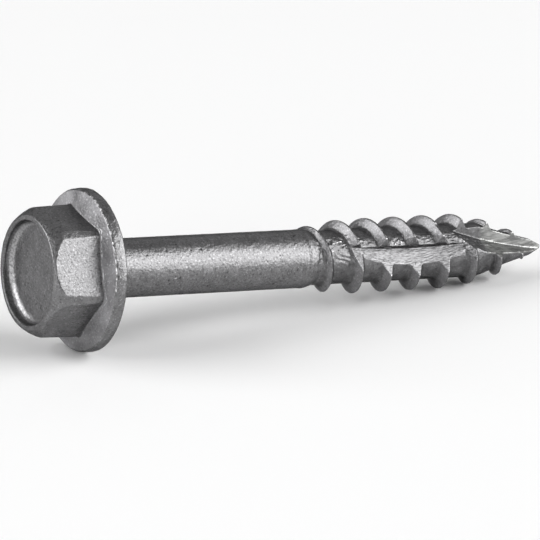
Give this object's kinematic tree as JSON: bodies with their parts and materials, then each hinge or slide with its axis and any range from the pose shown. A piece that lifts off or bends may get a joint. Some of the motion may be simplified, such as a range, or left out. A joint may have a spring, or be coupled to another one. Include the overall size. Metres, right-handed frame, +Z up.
{
  "type": "lag screw",
  "caption": "Flanged hex-head lag screw with a plain shank, a coarse tapering right-hand wood thread, a long flute along the thread and a notched point.",
  "frame": {"origin": "bottom centre of the bounding box, on the table plane the screw lies on", "axes": "+X along the screw from head to point, +Z up; the screw lies on its flange rim and thread crests, nose 5.96 degrees down"},
  "size_m": [0.0648, 0.0174, 0.0173],
  "materials": {
    "zinc_coat": "dull grey zinc coat over forged steel, slightly grainy"
  },
  "bodies": {
    "root": {"lag_screw": "zinc_coat"}
  },
  "joints": []
}
